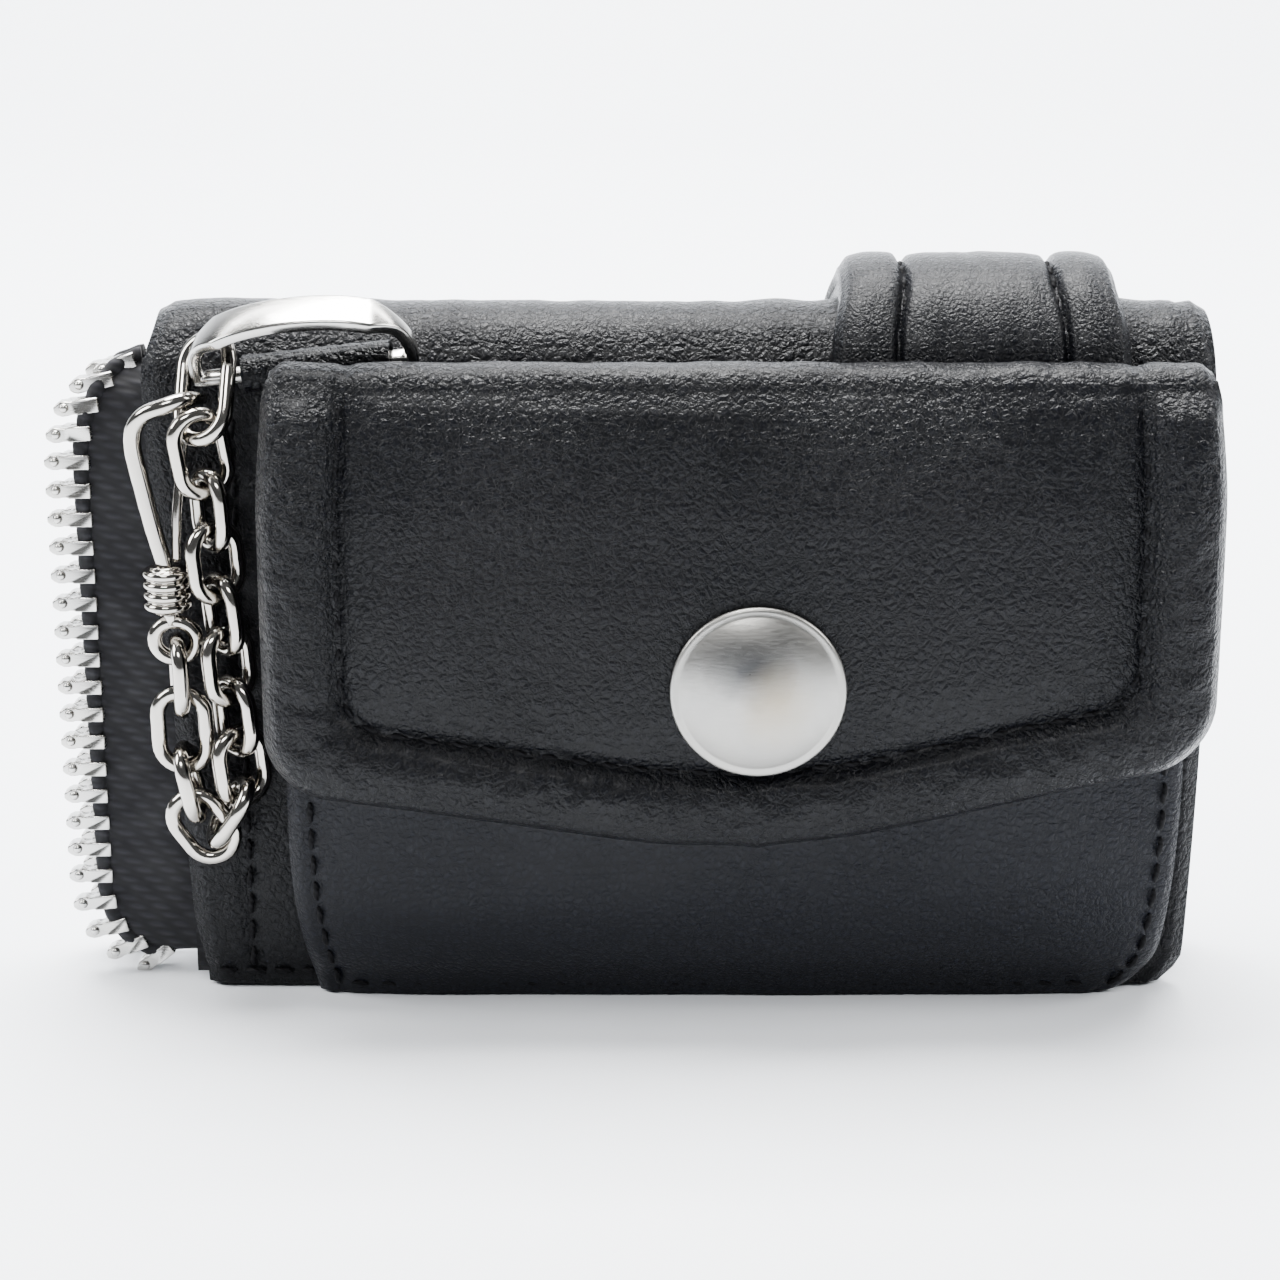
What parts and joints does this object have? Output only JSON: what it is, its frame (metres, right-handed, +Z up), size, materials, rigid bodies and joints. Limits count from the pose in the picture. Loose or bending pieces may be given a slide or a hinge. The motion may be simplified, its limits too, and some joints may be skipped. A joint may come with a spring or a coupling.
{
  "type": "chain wallet",
  "caption": "Compact zipped leather wallet with a snapped coin pocket, a belt strap over the top and a looped key chain on a ring.",
  "frame": {"origin": "middle of the main body's underside, on the surface the wallet stands on", "axes": "+X to the wearer's right of the front, away from the zip; +Y out of the back; +Z up to the folded edge"},
  "size_m": [0.1177, 0.0354, 0.0757],
  "materials": {
    "black_leather": "pebbled, semi-gloss",
    "black_lining": "matt",
    "zip_cloth": "woven",
    "bright_nickel": "polished",
    "satin_nickel": "satin"
  },
  "bodies": {
    "case": {"outer_shell": "black_leather", "shell_lining": "black_lining", "bottom_gusset": "black_leather", "right_gusset": "black_leather", "bill_divider": "black_leather", "card_panel_short": "black_leather", "card_panel_tall": "black_leather", "zip_tape_back": "zip_cloth", "zip_tape_front": "zip_cloth", "zip_teeth_back": "satin_nickel", "zip_teeth_front": "satin_nickel", "pocket_front": "black_leather", "pocket_gusset_left": "black_leather", "pocket_gusset_right": "black_leather", "flap_root": "black_leather", "snap_stud": "satin_nickel", "snap_washer": "satin_nickel", "d_ring_tab": "black_leather", "belt_strap": "black_leather"},
    "flap": {"flap_leather": "black_leather", "flap_lining": "black_lining", "snap_cap": "satin_nickel", "snap_socket": "satin_nickel"},
    "ring": {"d_ring": "satin_nickel"},
    "first_link": {"chain_link_00": "bright_nickel"},
    "loop": {"chain_link_01": "bright_nickel", "chain_link_02": "bright_nickel", "chain_link_03": "bright_nickel", "chain_link_04": "bright_nickel", "chain_link_05": "bright_nickel", "chain_link_06": "bright_nickel", "chain_link_07": "bright_nickel", "chain_link_08": "bright_nickel", "chain_link_09": "bright_nickel", "chain_link_10": "bright_nickel", "chain_link_11": "bright_nickel", "chain_link_12": "bright_nickel", "clasp_hook": "bright_nickel", "clasp_collar": "bright_nickel", "clasp_eye": "bright_nickel"},
    "gate": {"clasp_gate": "bright_nickel"},
    "slider": {"zip_slider": "satin_nickel"},
    "pull": {"zip_pull": "satin_nickel"},
    "strap_end": {"strap_tail": "black_leather", "strap_snap_cap": "satin_nickel"}
  },
  "joints": [
    {"name": "flap_hinge", "type": "hinge", "parent": "case", "child": "flap", "pos_m": [0, -0.0137, 0.067], "axis": [-1, 0, 0], "range_deg": [0, 80]},
    {"name": "ring_hinge", "type": "hinge", "parent": "case", "child": "ring", "pos_m": [-0.0376, -0.0096, 0.0673], "axis": [-0.9903, 0.0696, -0.1205], "range_deg": [0, 5]},
    {"name": "chain_swing", "type": "hinge", "parent": "ring", "child": "first_link", "pos_m": [-0.0472, -0.0075, 0.0685], "axis": [-1, 0, 0], "range_deg": [0, 25]},
    {"name": "loop_sway", "type": "hinge", "parent": "first_link", "child": "loop", "pos_m": [-0.04803, -0.01258, 0.06226], "axis": [0, 1, 0], "range_deg": [0, 4]},
    {"name": "gate_hinge", "type": "hinge", "parent": "loop", "child": "gate", "pos_m": [-0.0507, -0.0112, 0.048], "axis": [0, -1, 0], "range_deg": [0, 8], "stiffness_Nm_per_rad": 0.0004, "springref_deg": -5.73},
    {"name": "zip_slide", "type": "slide", "parent": "case", "child": "slider", "axis": [0, 0, -1], "range_m": [0, 0.036]},
    {"name": "pull_hinge", "type": "hinge", "parent": "slider", "child": "pull", "pos_m": [-0.0604, 0, 0.057], "axis": [0, 1, 0], "range_deg": [0, 100]},
    {"name": "strap_hinge", "type": "hinge", "parent": "case", "child": "strap_end", "pos_m": [0.02985, 0.011, 0.0644], "axis": [1, 0, 0], "range_deg": [0, 100]}
  ]
}
